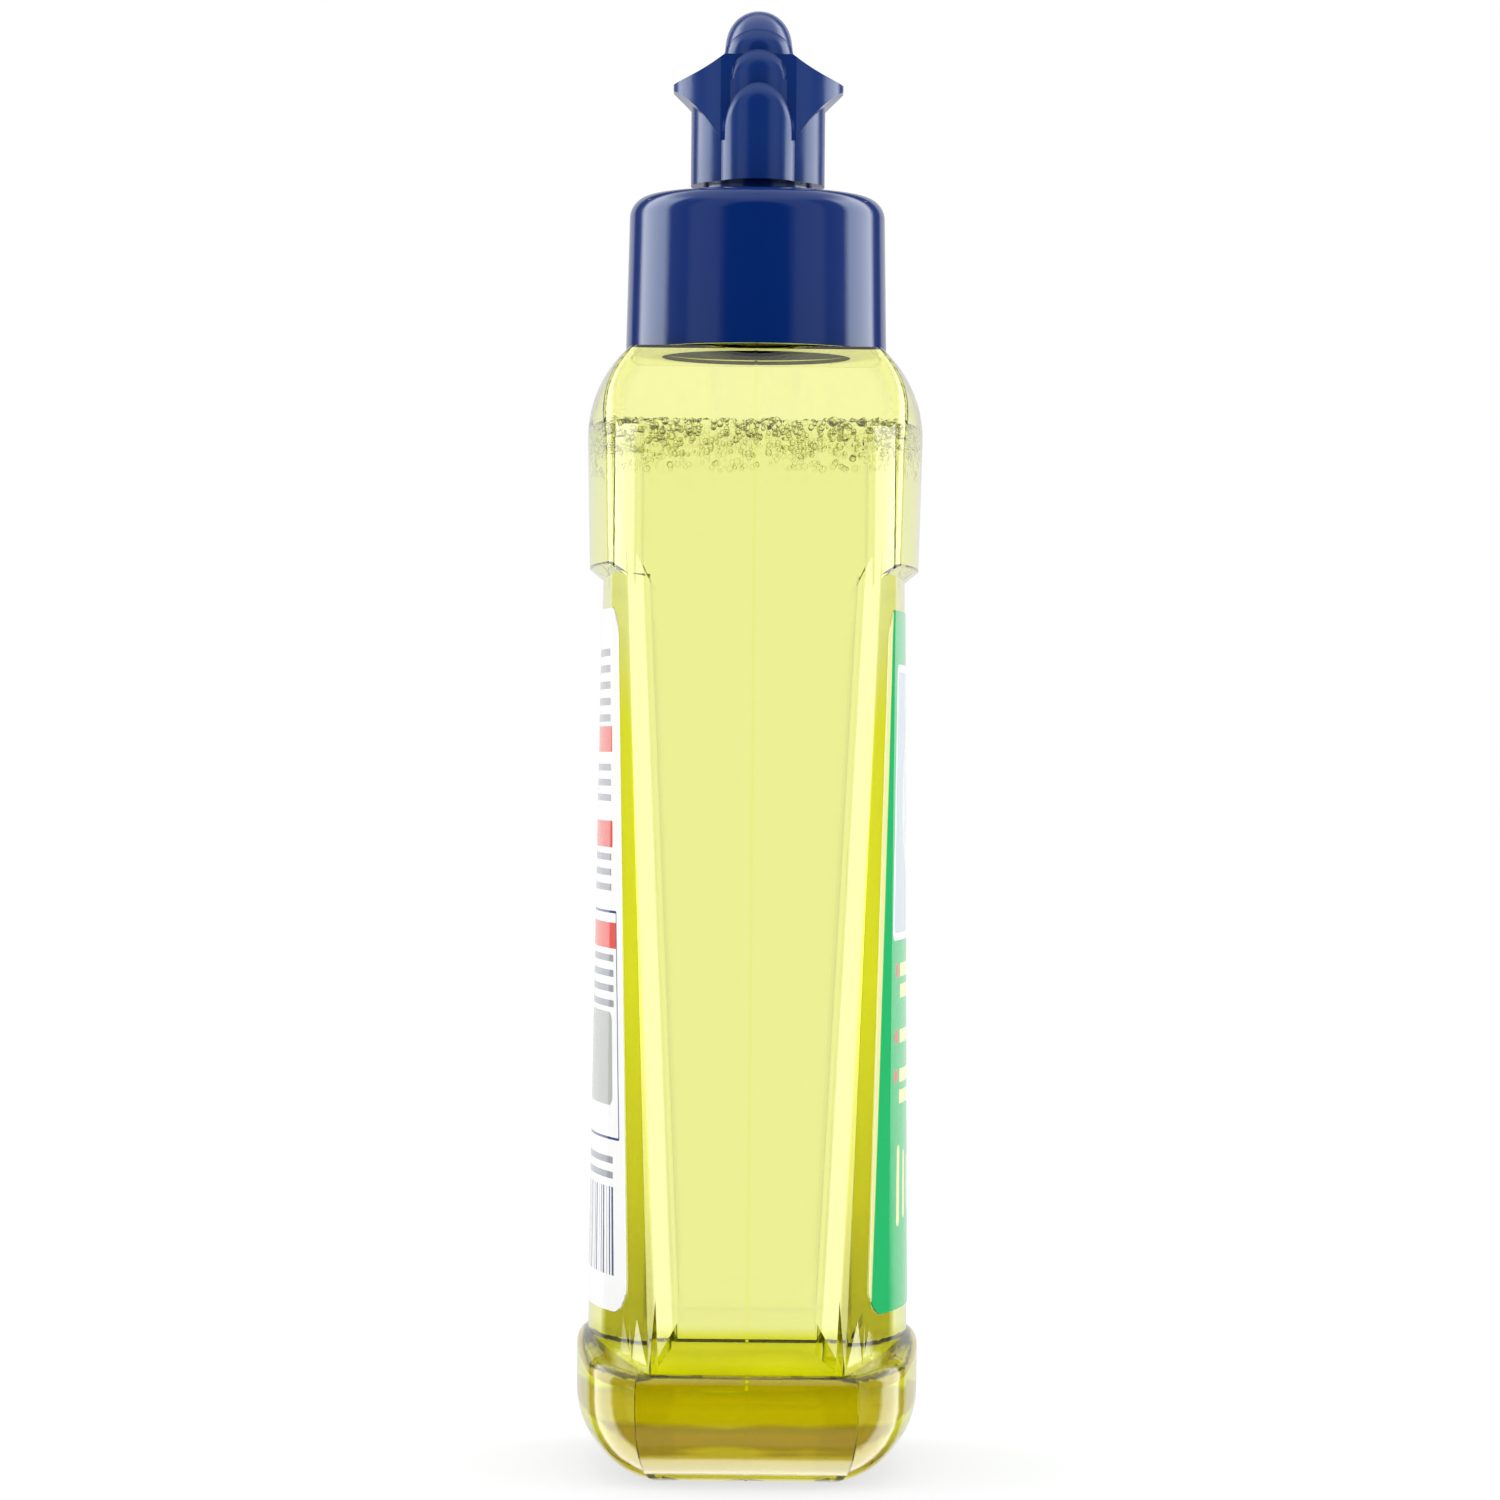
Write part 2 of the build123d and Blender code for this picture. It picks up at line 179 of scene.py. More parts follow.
def add_node(tree, kind, values=None, links=None, **settings):
    """Adds a shader node: its properties, the values of its inputs, and what feeds them."""
    node = tree.nodes.new(kind)
    for name, value in settings.items():
        setattr(node, name, value)
    for name, value in (values or {}).items():
        node.inputs[name].default_value = value
    for name, source in (links or {}).items():
        tree.links.new(source, node.inputs[name])
    return node


def new_material(name):
    """An empty node material with its output."""
    material = bpy.data.materials.new(name)
    material.use_nodes = True
    material.node_tree.nodes.clear()
    return material, material.node_tree, material.node_tree.nodes.new("ShaderNodeOutputMaterial")


def span(tree, value, start, end):
    """Rises from nought to one while a value goes from start to end, in millimetres."""
    node = add_node(tree, "ShaderNodeMapRange", {"From Min": start * MM, "From Max": end * MM},
                    {"Value": value}, interpolation_type="SMOOTHSTEP")
    return node.outputs[0]


def product(tree, *factors):
    """Multiplies masks."""
    result = factors[0]
    for factor in factors[1:]:
        result = add_node(tree, "ShaderNodeMath", links={0: result, 1: factor},
                          operation="MULTIPLY").outputs[0]
    return result


def colour_ramp(tree, value, stops):
    """Runs through linear colours, each at its place on a scale from nought to one."""
    ramp = add_node(tree, "ShaderNodeValToRGB", links={"Fac": value})
    elements = ramp.color_ramp.elements
    for index, (position, colour) in enumerate(stops):
        stop = elements[index] if index < 2 else elements.new(position)
        stop.position = position
        stop.color = colour
    return ramp.outputs[0]


def from_hex(stops):
    """Colour stops with their hex colours turned to linear."""
    return [(position, linear(colour)) for position, colour in stops]


# Materials

def clear_body(name, ior, tint, density):
    """A clear body: light bends at its skin and takes on colour with the length of its path."""
    material, tree, output = new_material(name)
    surface = add_node(tree, "ShaderNodeBsdfPrincipled",
                       {"Base Color": (1, 1, 1, 1), "Roughness": 0.0, "IOR": ior,
                        "Transmission Weight": 1.0})
    volume = add_node(tree, "ShaderNodeVolumeAbsorption", {"Color": tint, "Density": density})
    tree.links.new(surface.outputs[0], output.inputs["Surface"])
    tree.links.new(volume.outputs[0], output.inputs["Volume"])
    return material


def painted_facet_shade_mask(tree, height, side):
    """Where the painted facet shade goes: one on the facets beside the end panels, and nought elsewhere."""
    crease = add_node(tree, "ShaderNodeMath", {1: CREASE_SLOPE, 2: CREASE_FOOT * MM}, {0: height},
                      operation="MULTIPLY_ADD")
    beyond = add_node(tree, "ShaderNodeMath", links={0: side, 1: crease.outputs[0]}, operation="SUBTRACT")
    return product(tree, span(tree, beyond.outputs[0], *FACET_EDGE), span(tree, side, GLARE + 0.6, GLARE),
                   span(tree, height, *FACET_FADE_IN), span(tree, height, *FACET_FADE_OUT))


def painted_heel_refraction(tree, place, height):
    """Painted refraction and shade in the heel: its colour by height, in slow waves."""
    ripple = add_node(tree, "ShaderNodeTexNoise", {"Scale": cells(REFRACTION_WAVE_SIZE), "Detail": 2.0},
                      {"Vector": place})
    wave = add_node(tree, "ShaderNodeMath", {1: HEEL_REFRACTION_WAVE * MM}, {0: ripple.outputs[0], 2: height},
                    operation="MULTIPLY_ADD")
    return colour_ramp(tree, span(tree, wave.outputs[0], *HEEL_SPAN), from_hex(HEEL_SHADE_STOPS))


def blown_plastic():
    """Blown bottle plastic: its own pale yellow, with painted shade and refraction, a deeper gold along the
    facets and in waves over the heel.
    """
    material = clear_body("blown_bottle_plastic", 1.53, (0.94, 0.95, 0.0, 1.0), 640)
    tree = material.node_tree
    place = add_node(tree, "ShaderNodeTexCoord").outputs["Object"]
    parts = add_node(tree, "ShaderNodeSeparateXYZ", links={"Vector": place})
    height = parts.outputs["Z"]
    side = add_node(tree, "ShaderNodeMath", links={0: parts.outputs["Y"]}, operation="ABSOLUTE").outputs[0]
    # Painted shade and refraction: a deeper gold along the facets, over the plastic's own pale yellow
    painted_facet_shade = colour_ramp(tree, span(tree, height, *FACET_SPAN), from_hex(FACET_SHADE_STOPS))
    facets = add_node(tree, "ShaderNodeMixRGB", {"Color1": (1, 1, 1, 1)},
                      {"Fac": painted_facet_shade_mask(tree, height, side), "Color2": painted_facet_shade})
    # Painted refraction and shade over the heel, laid over the facet colour
    heel = product(tree, span(tree, height, *HEEL_FADE), span(tree, side, *HEEL_SIDES))
    tint = add_node(tree, "ShaderNodeMixRGB",
                    links={"Fac": heel, "Color1": facets.outputs[0],
                           "Color2": painted_heel_refraction(tree, place, height)})
    surface = next(node for node in tree.nodes if node.type == "BSDF_PRINCIPLED")
    tree.links.new(tint.outputs[0], surface.inputs["Base Color"])
    return material


def moulded_plastic(name, colour, roughness, peel):
    """Moulded plastic: a faint orange peel bends its highlights and dulls them in patches."""
    material, tree, output = new_material(name)
    place = add_node(tree, "ShaderNodeTexCoord").outputs["Object"]
    patches = add_node(tree, "ShaderNodeTexNoise", {"Scale": cells(PATCH_SIZE), "Detail": 3.0},
                       {"Vector": place})
    dull = add_node(tree, "ShaderNodeMapRange",
                    {"From Min": 0.3, "From Max": 0.7, "To Min": roughness * 0.8, "To Max": roughness * 1.25},
                    {"Value": patches.outputs[0]})
    ripple = add_node(tree, "ShaderNodeTexNoise", {"Scale": cells(PEEL_SIZE), "Detail": 2.0},
                      {"Vector": place})
    relief = add_node(tree, "ShaderNodeBump", {"Strength": peel, "Distance": PEEL_DEPTH * MM},
                      {"Height": ripple.outputs[0]})
    surface = add_node(tree, "ShaderNodeBsdfPrincipled",
                       {"Base Color": linear(colour), "IOR": 1.49, "Specular Tint": (0.76, 0.9, 1.0, 1.0)},
                       {"Roughness": dull.outputs[0], "Normal": relief.outputs[0]})
    tree.links.new(surface.outputs[0], output.inputs["Surface"])
    return material


def foam_wad():
    """Closed-cell foam: a dull white with fine pores."""
    material, tree, output = new_material("foam_wad")
    place = add_node(tree, "ShaderNodeTexCoord").outputs["Object"]
    pores = add_node(tree, "ShaderNodeTexVoronoi", {"Scale": cells(PORE_SIZE)}, {"Vector": place})
    relief = add_node(tree, "ShaderNodeBump", {"Strength": 0.4, "Distance": PORE_DEPTH * MM},
                      {"Height": pores.outputs["Distance"]})
    surface = add_node(tree, "ShaderNodeBsdfPrincipled",
                       {"Base Color": linear("EDEDE6"), "Roughness": 0.75, "IOR": 1.45},
                       {"Normal": relief.outputs[0]})
    tree.links.new(surface.outputs[0], output.inputs["Surface"])
    return material


def shape_mask(tree, place, left, right, foot, top, corner):
    """One inside a rounded rectangle given in millimetres on the label, and nought outside it."""
    middle = ((left + right) / 2 * MM, (foot + top) / 2 * MM, 0)
    half = (max((right - left) / 2 - corner, 0) * MM, max((top - foot) / 2 - corner, 0) * MM, 1)
    offset = add_node(tree, "ShaderNodeVectorMath", {1: middle}, {0: place}, operation="SUBTRACT")
    folded = add_node(tree, "ShaderNodeVectorMath", links={0: offset.outputs[0]}, operation="ABSOLUTE")
    beyond = add_node(tree, "ShaderNodeVectorMath", {1: half}, {0: folded.outputs[0]}, operation="SUBTRACT")
    outside = add_node(tree, "ShaderNodeVectorMath", {1: (0, 0, 0)}, {0: beyond.outputs[0]},
                       operation="MAXIMUM")
    reach = add_node(tree, "ShaderNodeVectorMath", links={0: outside.outputs[0]}, operation="LENGTH")
    inside = add_node(tree, "ShaderNodeMath", {1: max(corner, 0.01) * MM}, {0: reach.outputs["Value"]},
                      operation="LESS_THAN")
    return inside.outputs[0]


def foot_half_width(node):
    """Half the label's width near its foot, in millimetres."""
    points = [nodes[node].matrix_world @ vert.co for vert in nodes[node].data.vertices]
    return max(abs(point.x) for point in points if abs(point.z - LABEL_FOOT * MM) < 3 * MM) / MM


def printed_film(name, node, ground, border, shapes):
    """Printed label film: flat fields of ink under a clear gloss varnish, between two upright borders
    that are thin at the foot and widen with the label."""
    material, tree, output = new_material(name)
    place = add_node(tree, "ShaderNodeTexCoord")
    parts = add_node(tree, "ShaderNodeSeparateXYZ", links={"Vector": place.outputs["Object"]})
    flat = add_node(tree, "ShaderNodeCombineXYZ",
                    links={"X": parts.outputs["X"], "Y": parts.outputs["Z"]})
    ink = add_node(tree, "ShaderNodeRGB")
    ink.outputs[0].default_value = linear(ground)
    for colour, *outline in shapes:
        mask = shape_mask(tree, flat.outputs[0], *outline)
        ink = add_node(tree, "ShaderNodeMixRGB", {"Color2": linear(colour)},
                       {"Fac": mask, "Color1": ink.outputs[0]})
    across = add_node(tree, "ShaderNodeMath", links={0: parts.outputs["X"]}, operation="ABSOLUTE")
    start, end = [foot_half_width(node) + inset for inset in BORDER]
    ink = add_node(tree, "ShaderNodeMixRGB", {"Color2": linear(border)},
                   {"Fac": span(tree, across.outputs[0], start, end), "Color1": ink.outputs[0]})
    surface = add_node(tree, "ShaderNodeBsdfPrincipled",
                       {"Roughness": 0.12, "IOR": 1.5}, {"Base Color": ink.outputs[0]})
    tree.links.new(surface.outputs[0], output.inputs["Surface"])
    return material


def plain_film(name, colour):
    """The back of a label, seen through the bottle: dull white film."""
    material, tree, output = new_material(name)
    surface = add_node(tree, "ShaderNodeBsdfPrincipled",
                       {"Base Color": linear(colour), "Roughness": 0.5, "IOR": 1.5})
    tree.links.new(surface.outputs[0], output.inputs["Surface"])
    return material


# Print on the labels: colour, left, right, foot, top and corner radius of each shape

def front_print():
    """A pale panel with a disc, then bullets with lines of print, then four strokes."""
    shapes = [
        (WHITE, -22, 22, 85.8, 129.7, 1.5),
        (PANEL, -20.8, 20.8, 87.0, 128.5, 1.0),
        (HALO, -14, 14, 96, 119, 11.0),
        (DISC, -7, 7, 100.5, 114.5, 6.9),
    ]
    for height, widths in ((81.0, (17, 11)), (70.4, (14,)), (64.1, (15, 8))):
        shapes.append((RED, -19.6, -17.2, height - 1.2, height + 1.2, 1.2))
        for line, width in enumerate(widths):
            centre = height - line * 3.4
            shapes.append((CREAM, -15.6, -15.6 + 2 * width, centre - 1.1, centre + 1.1, 0.3))
    for stroke in range(4):
        shapes.append((CREAM, -17 + stroke * 5, -15 + stroke * 5, 40 + stroke, 53 - stroke, 1.0))
    return shapes


def print_rows(count, left, right, shorter, foot):
    """Grey lines of print, each shorter than the one above."""
    return [(GREY, left, right - row * shorter, foot - row * 2.4, foot + 1.1 - row * 2.4, 0.2)
            for row in range(count)]


def back_print():
    """Blocks of grey lines under red bars, a framed box with a grey patch, and a row of stripes."""
    shapes = [(GREY, -24, 24 - row % 3 * 4, 130.6 - row * 2.6, 131.8 - row * 2.6, 0.2) for row in range(5)]
    shapes.append((RED, -25, -6, 115.4, 119.5, 0.3))
    shapes += print_rows(3, -24, 18, 5, 112.4)
    shapes.append((RED, -25, -2, 100.3, 104.5, 0.3))
    shapes += print_rows(3, -24, 22, 6, 98.2)
    shapes.append((NAVY, -27, 27, 54.0, 90.3, 0.5))
    shapes.append((WHITE, -26.6, 26.6, 54.4, 89.9, 0.3))
    shapes.append((RED, -26.6, 10, 84.3, 88.4, 0.1))
    shapes += print_rows(4, -25, 20, 7, 82.2)
    shapes.append((PATCH, -24, 4, 59.4, 74.2, 1.8))
    shapes += print_rows(2, -24, 14, 6, 50.2)
    for bar in range(16):
        left = -24 + bar * 1.5
        shapes.append((INK, left, left + 0.8 - bar % 3 * 0.3, 32.5, 46.5, 0.0))
    return shapes


# Meshes made from the CAD nodes

def finish_mesh(form, name, crisp=CRISP_ANGLE):
    """Turns a bmesh into an object with smooth faces and crisp corners."""
    mesh = bpy.data.meshes.new(name)
    form.to_mesh(mesh)
    form.free()
    mesh.polygons.foreach_set("use_smooth", [True] * len(mesh.polygons))
    mesh.set_sharp_from_angle(angle=radians(crisp))
    piece = bpy.data.objects.new(name, mesh)
    bpy.context.scene.collection.objects.link(piece)
    return piece


def grown_copy(node, amount, chosen=lambda normal: True):
    """A welded copy of a node's mesh with the chosen points pushed out along their normals."""
    source = nodes[node]
    form = bmesh.new()
    form.from_mesh(source.data)
    bmesh.ops.transform(form, matrix=source.matrix_world, verts=form.verts)
    bmesh.ops.remove_doubles(form, verts=form.verts, dist=WELD * MM)
    form.normal_update()
    moves = [(vert, vert.normal.copy()) for vert in form.verts if chosen(vert.normal)]
    for vert, normal in moves:
        vert.co += normal * amount
    return form


def cut(form, point, normal):
    """Cuts all faces of a form along a plane and keeps both sides."""
    geometry = form.verts[:] + form.edges[:] + form.faces[:]
    bmesh.ops.bisect_plane(form, geom=geometry, plane_co=point, plane_no=normal, dist=SNAP * MM)


def cut_corners(form):
    """Cuts a form along the lines of all four corners, so that its skin can bend there."""
    for side in (-1, 1):
        for line in WAIST_LINES[:3]:
            cut(form, (0, side * (CREASE_FOOT + line) * MM, 0), (0, 1, -side * CREASE_SLOPE))
        for reach in [CORNER + line for line in SHOULDER_LINES] + [GLARE]:
            cut(form, (0, side * reach * MM, 0), (0, 1, 0))


def turn_at(point, level):
    """Degrees by which the skin faces away from the bottle's end here, or None to leave it."""
    reach = abs(point.y) / MM
    if level > SHOULDER_FOOT:
        steps = [(CORNER + line, turn) for line, turn in zip(SHOULDER_LINES, SHOULDER_TURNS)]
        end = CORNER
    else:
        crease = CREASE_FOOT + CREASE_SLOPE * point.z / MM
        steps = [(crease + line, turn) for line, turn in zip(WAIST_LINES, WAIST_TURNS)]
        end = GLARE
    if reach < steps[0][0] - LINE_SLACK or reach > end + LINE_SLACK:
        return None
    for (start, low), (stop, high) in zip(steps, steps[1:]):
        if reach < stop:
            return low + (high - low) * max(reach - start, 0) / (stop - start)
    return steps[-1][1]


def drawn_normals(piece, node):
    """The CAD node's own smooth normals, read at each corner of a piece made from it."""
    source = nodes[node].data
    place = nodes[node].matrix_world
    turn = place.to_3x3()
    points = [place @ vert.co for vert in source.vertices]
    faces = [tuple(face.vertices) for face in source.polygons]
    tree = BVHTree.FromPolygons(points, faces)
    slopes = [turn @ corner.vector for corner in source.corner_normals]
    normals = []
    for face in piece.data.polygons:
        for index in face.vertices:
            # A spot just inside the face, so that the nearest CAD face is the one it came from
            spot = piece.data.vertices[index].co.lerp(face.center, 0.03)
            found, _, nearest, _ = tree.find_nearest(spot)
            weights = poly_3d_calc([points[vert] for vert in faces[nearest]], found)
            first = source.polygons[nearest].loop_start
            normal = Vector()
            for step, weight in enumerate(weights):
                normal += slopes[first + step] * weight
            normals.append(normal.normalized())
    return normals


def soften_corners(piece, node):
    """Gives the corners of the narrow sides the round look of blown plastic."""
    mesh = piece.data
    normals = drawn_normals(piece, node)
    lowest, highest = SOFT_LEVELS
    for face in mesh.polygons:
        level = face.center.z / MM
        upright = abs(face.normal.z) < UPRIGHT_LIMIT and lowest < level < highest
        if not upright or turn_at(face.center, level) is None:
            continue
        outward = 1 if face.normal.x * face.center.x + face.normal.y * face.center.y > 0 else -1
        for loop in face.loop_indices:
            point = mesh.vertices[mesh.loops[loop].vertex_index].co
            turn = turn_at(point, level)
            if turn is None:
                continue
            ahead = outward * (1 if point.x > 0 else -1) * cos(radians(turn))
            aside = outward * (1 if point.y > 0 else -1) * sin(radians(turn))
            normals[loop] = Vector((ahead, aside, normals[loop].z)).normalized()
    mesh.normals_split_custom_set(normals)


def spout_scales():
    """Each step of the spine: its axis and radius, and the sloping plane that cuts its top."""
    for height, slope, front, radius in zip(SCALE_PEAKS, SCALE_SLOPES, SCALE_FRONTS, SCALE_RADII):
        axis = Vector(((radius - front) * MM, 0, 0))
        peak = Vector((-front * MM, 0, height * MM))
        lean = Vector((sin(radians(slope)), 0, cos(radians(slope))))
        yield axis, radius * MM, peak, lean


def roll_lips(mesh, normals):
    """Tips the shading upwards towards each scale's rim, as a rolled lip would."""
    for axis, radius, peak, lean in spout_scales():
        for face in mesh.polygons:
            offset = face.center - axis
            depth = (peak - face.center).dot(lean) / lean.z
            on_skin = abs(offset.xy.length - radius) < 0.2 * MM
            if not on_skin or offset.x > 0 or abs(face.normal.z) > 0.3 or not 0 < depth < LIP * MM:
                continue
            for loop in face.loop_indices:
                point = mesh.vertices[mesh.loops[loop].vertex_index].co
                share = 1 - min(max((peak - point).dot(lean) / lean.z / (LIP * MM), 0), 1)
                tilt = radians(LIP_TILT * share)
                flat = Vector((normals[loop].x, normals[loop].y, 0)).normalized()
                normals[loop] = flat * cos(tilt) + Vector((0, 0, sin(tilt)))


# Pieces

def dress(node, material):
    """Gives a CAD node its finish."""
    mesh = nodes[node].data
    mesh.materials.clear()
    mesh.materials.append(material)


def bottle_piece(material):
    """The blown bottle with soft corners."""
    form = grown_copy("bottle", 0)
    cut_corners(form)
    piece = finish_mesh(form, "blown_bottle")
    soften_corners(piece, "bottle")
    piece.data.materials.append(material)
    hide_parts("bottle")
    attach(piece, "bottle_body")


def spout_piece(material):
    """The pull spout, with the lips of its scales rolled so that they catch the light from above."""
    form = grown_copy("pull_spout", 0)
    for _, _, peak, lean in spout_scales():
        cut(form, peak - Vector((0, 0, LIP * MM)), lean)
    piece = finish_mesh(form, "blue_pull_spout")
    normals = drawn_normals(piece, "pull_spout")
    roll_lips(piece.data, normals)
    piece.data.normals_split_custom_set(normals)
    piece.data.materials.append(material)
    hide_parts("pull_spout")
    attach(piece, "spout_body")


def liquid_piece(material):
    """The liquid wets the wall, so its skin lies just inside the plastic."""
    form = grown_copy("rinse_aid", LIQUID_GROWTH * MM)
    for vert in form.verts:
        if vert.co.z > FILL_TOP * MM:
            vert.co.z = FILL_TOP * MM
    cut_corners(form)
    piece = finish_mesh(form, "rinse_aid_filling")
    soften_corners(piece, "rinse_aid")
    piece.data.materials.append(material)
    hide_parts("rinse_aid")
    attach(piece, "bottle_body")


def label_piece(node, side, printed, back):
    """A glued label: its back lies in the skin of the plastic, with no air between."""
    form = grown_copy(node, LABEL_GROWTH * MM, lambda normal: normal.y * side < BACK_FACING)
    cut_corners(form)
    piece = finish_mesh(form, node + "_print")
    soften_corners(piece, node)
    piece.data.materials.append(printed)
    piece.data.materials.append(back)
    for face in piece.data.polygons:
        if face.normal.y * side < BACK_FACING:
            face.material_index = 1
    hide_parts(node)
    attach(piece, "bottle_body")


def surface_sides():
    """The rim of the liquid's surface as straight sides, in order round the bottle."""
    source = nodes["rinse_aid"]
    points = [source.matrix_world @ vert.co for vert in source.data.vertices]
    top = max(point.z for point in points)
    rim = {(round(p.x, 5), round(p.y, 5)) for p in points if p.z > top - 0.2 * MM}
    ring = [Vector((*spot, 0)) for spot in sorted(rim, key=lambda spot: atan2(spot[1], spot[0]))]
    return list(zip(ring, ring[1:] + ring[:1]))


def bubbles():
    """The middle and radius of each bubble: a ring along the wall, a few large ones, foam on top."""
    sides = surface_sides()
    lengths = [(stop - start).length for start, stop in sides]
    seed = Random(7)
    for kind, count, small, large in FROTH_KINDS:
        for _ in range(count):
            radius = seed.uniform(small, large) * MM
            start, stop = seed.choices(sides, lengths)[0]
            edge = start.lerp(stop, seed.random())
            reach = edge.length - radius - WALL_GAP * MM
            if kind == "foam":
                reach *= seed.random() ** 0.5
            drop = seed.random() * (RING_DROP if kind == "ring" else LARGE_DROP)
            rise = FOAM_RISE * MM if kind == "foam" else -drop * MM + radius * 0.5
            yield edge.normalized() * reach + Vector((0, 0, FILL_TOP * MM + rise)), radius


def ball_pattern():
    """The points and faces of a small ball with a radius of one."""
    form = bmesh.new()
    bmesh.ops.create_icosphere(form, subdivisions=2, radius=1)
    form.verts.index_update()
    points = [vert.co.copy() for vert in form.verts]
    faces = [[vert.index for vert in face.verts] for face in form.faces]
    form.free()
    return points, faces


def froth_piece(material):
    """Bubbles that cling to the wall at the liquid's surface, and foam across it."""
    ball, skin = ball_pattern()
    spots, faces = [], []
    for middle, radius in bubbles():
        faces += [[len(spots) + index for index in face] for face in skin]
        spots += [middle + point * radius for point in ball]
    mesh = bpy.data.meshes.new("froth_bubbles")
    mesh.from_pydata(spots, [], faces)
    form = bmesh.new()
    form.from_mesh(mesh)
    piece = finish_mesh(form, "froth_bubbles", 180.0)
    piece.data.materials.append(material)
    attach(piece, "bottle_body")


bottle_plastic = blown_plastic()
# Thin yellow-green liquid: nearly clear in a thin layer, and full of colour across the bottle
liquid = clear_body("rinse_aid_liquid", 1.34, (0.96, 0.98, 0.6, 1.0), 8)
# Wet bubbles: they bend light like water, so each shows a dark rim with a bright middle
froth = clear_body("froth_film", 1.3, (0.96, 0.98, 0.5, 1.0), 60)
cap_plastic = moulded_plastic("blue_polypropylene", "012365", 0.09, 0.25)
spout_plastic = moulded_plastic("blue_polyethylene", "02296C", 0.2, 0.35)
green_film = printed_film("green_label_film", "front_label", GREEN, CREAM, front_print())
white_film = printed_film("white_label_film", "back_label", WHITE, WHITE, back_print())
film_back = plain_film("label_film_back", "F4F4EE")

bottle_piece(bottle_plastic)
froth_piece(froth)
dress("closure", cap_plastic)
spout_piece(spout_plastic)
dress("sealing_washer", foam_wad())
liquid_piece(liquid)
label_piece("front_label", -1, green_film, film_back)
label_piece("back_label", 1, white_film, film_back)


# Stage

def studio_floor():
    """A pale floor that shows white and keeps a faint shadow; gloss and clear plastic look through it."""
    mesh = bpy.data.meshes.new("studio_floor")
    corners = [(-1, -1), (1, -1), (1, 1), (-1, 1)]
    mesh.from_pydata([(x * FLOOR_REACH, y * FLOOR_REACH, 0) for x, y in corners], [], [(0, 1, 2, 3)])
    floor = bpy.data.objects.new("studio_floor", mesh)
    bpy.context.scene.collection.objects.link(floor)
    material, tree, output = new_material("pale_floor")
    path = add_node(tree, "ShaderNodeLightPath")
    diffuse = add_node(tree, "ShaderNodeBsdfDiffuse", {"Color": linear("FBFBFB")})
    white = add_node(tree, "ShaderNodeEmission", {"Color": linear("FFFFFF"), "Strength": 1.0})
    lift = add_node(tree, "ShaderNodeMath", {1: FLOOR_LIFT}, {0: path.outputs["Is Camera Ray"]},
                    operation="MULTIPLY")
    pale = add_node(tree, "ShaderNodeMixShader", links={0: lift.outputs[0], 1: diffuse.outputs[0],
                                                        2: white.outputs[0]})
    clear = add_node(tree, "ShaderNodeBsdfTransparent")
    mirrored = add_node(tree, "ShaderNodeMath", links={0: path.outputs["Is Glossy Ray"],
                                                       1: path.outputs["Is Transmission Ray"]},
                        operation="MAXIMUM")
    seen = add_node(tree, "ShaderNodeMixShader", links={0: mirrored.outputs[0], 1: pale.outputs[0],
                                                        2: clear.outputs[0]})
    tree.links.new(seen.outputs[0], output.inputs["Surface"])
    mesh.materials.append(material)


def studio_lights(tree, direction):
    """How bright the studio is in a direction: its walls by X, and its ceiling high in Z."""
    along = add_node(tree, "ShaderNodeMapRange", {"From Min": -1.0, "From Max": 1.0},
                     {"Value": direction.outputs["X"]})
    greys = [((toward + 1) / 2, [level / SOFTBOX_LEVEL] * 3 + [1.0]) for toward, level in STUDIO_STOPS]
    walls = add_node(tree, "ShaderNodeMath", {1: SOFTBOX_LEVEL},
                     {0: colour_ramp(tree, along.outputs[0], greys)}, operation="MULTIPLY")
    start, end = CEILING_START
    above = add_node(tree, "ShaderNodeMapRange", {"From Min": start, "From Max": end},
                     {"Value": direction.outputs["Z"]}, interpolation_type="SMOOTHSTEP")
    studio = add_node(tree, "ShaderNodeMix", {"B": CEILING_LEVEL},
                      {"Factor": above.outputs[0], "A": walls.outputs[0]})
    return studio.outputs[0]


def seen_through(tree, direction):
    """How bright the surroundings are to light that has passed through clear plastic."""
    start, end = BACKDROP_START
    soft = add_node(tree, "ShaderNodeMapRange",
                    {"From Min": start, "From Max": end, "To Min": NEAR_LEVEL, "To Max": BACKDROP_LEVEL},
                    {"Value": direction.outputs["X"]}, interpolation_type="SMOOTHSTEP")
    return soft.outputs[0]


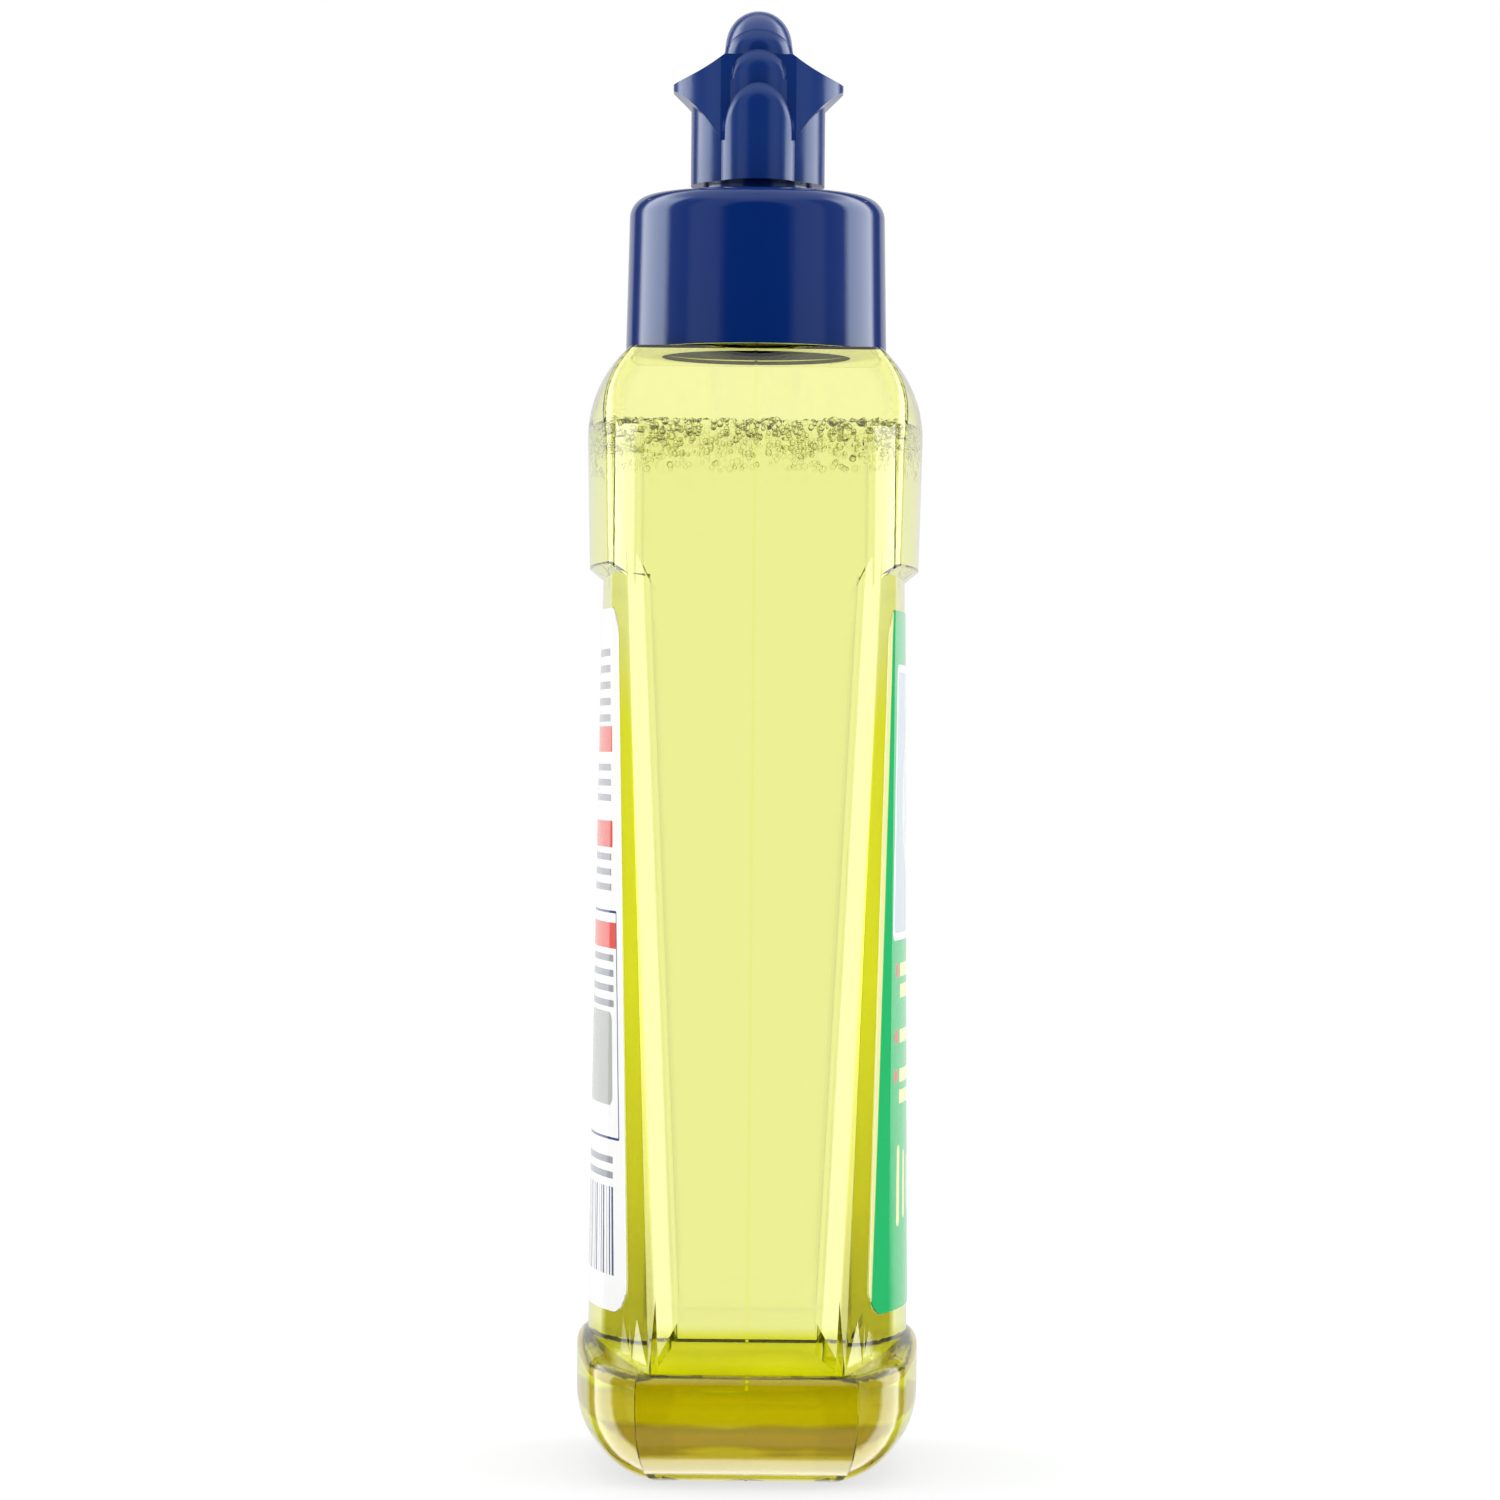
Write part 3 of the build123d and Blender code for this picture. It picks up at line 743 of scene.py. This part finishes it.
def studio_world():
    """Even white for the camera and for dull surfaces; gloss and glass see the studio's lights."""
    world = bpy.data.worlds.new("light_tent")
    bpy.context.scene.world = world
    world.use_nodes = True
    tree = world.node_tree
    tree.nodes.clear()
    output = tree.nodes.new("ShaderNodeOutputWorld")
    path = add_node(tree, "ShaderNodeLightPath")
    plain = add_node(tree, "ShaderNodeMath", links={0: path.outputs["Is Camera Ray"],
                                                    1: path.outputs["Is Diffuse Ray"]},
                     operation="MAXIMUM")
    place = add_node(tree, "ShaderNodeTexCoord")
    direction = add_node(tree, "ShaderNodeSeparateXYZ", links={"Vector": place.outputs["Generated"]})
    lit = add_node(tree, "ShaderNodeMix", links={"Factor": path.outputs["Is Transmission Ray"],
                                                 "A": studio_lights(tree, direction),
                                                 "B": seen_through(tree, direction)})
    strength = add_node(tree, "ShaderNodeMix", {"B": 1.0},
                        {"Factor": plain.outputs[0], "A": lit.outputs[0]})
    shade = add_node(tree, "ShaderNodeBackground", {"Color": (1, 1, 1, 1)},
                     {"Strength": strength.outputs[0]})
    tree.links.new(shade.outputs[0], output.inputs["Surface"])


def overhead_light():
    """A broad soft lamp high above that lifts the floor to white."""
    light = bpy.data.lights.new("overhead_light", "AREA")
    light.shape = "RECTANGLE"
    light.size, light.size_y = LAMP_SIZE, LAMP_SIZE
    light.energy = LAMP_POWER
    lamp = bpy.data.objects.new("overhead_light", light)
    lamp.location = LAMP_PLACE
    lamp.visible_glossy = False
    bpy.context.scene.collection.objects.link(lamp)


def photo_camera():
    """Stands level with the bottle's middle and looks at its narrow side."""
    camera = bpy.data.cameras.new("photo_camera")
    camera.sensor_width = SENSOR_WIDTH
    camera.lens = LENS
    eye = bpy.data.objects.new("photo_camera", camera)
    eye.location = CAMERA_PLACE
    eye.rotation_euler = Vector((1, 0, 0)).to_track_quat("-Z", "Y").to_euler()
    eye.rotation_euler.rotate_axis("Z", radians(CAMERA_ROLL))
    bpy.context.scene.collection.objects.link(eye)
    bpy.context.scene.camera = eye


studio_floor()
studio_world()
overhead_light()
photo_camera()
scene = bpy.context.scene
scene.view_settings.view_transform = "Standard"
scene.cycles.max_bounces = CLEAR_BOUNCES
scene.cycles.transmission_bounces = CLEAR_BOUNCES
scene.cycles.diffuse_bounces = DIFFUSE_BOUNCES
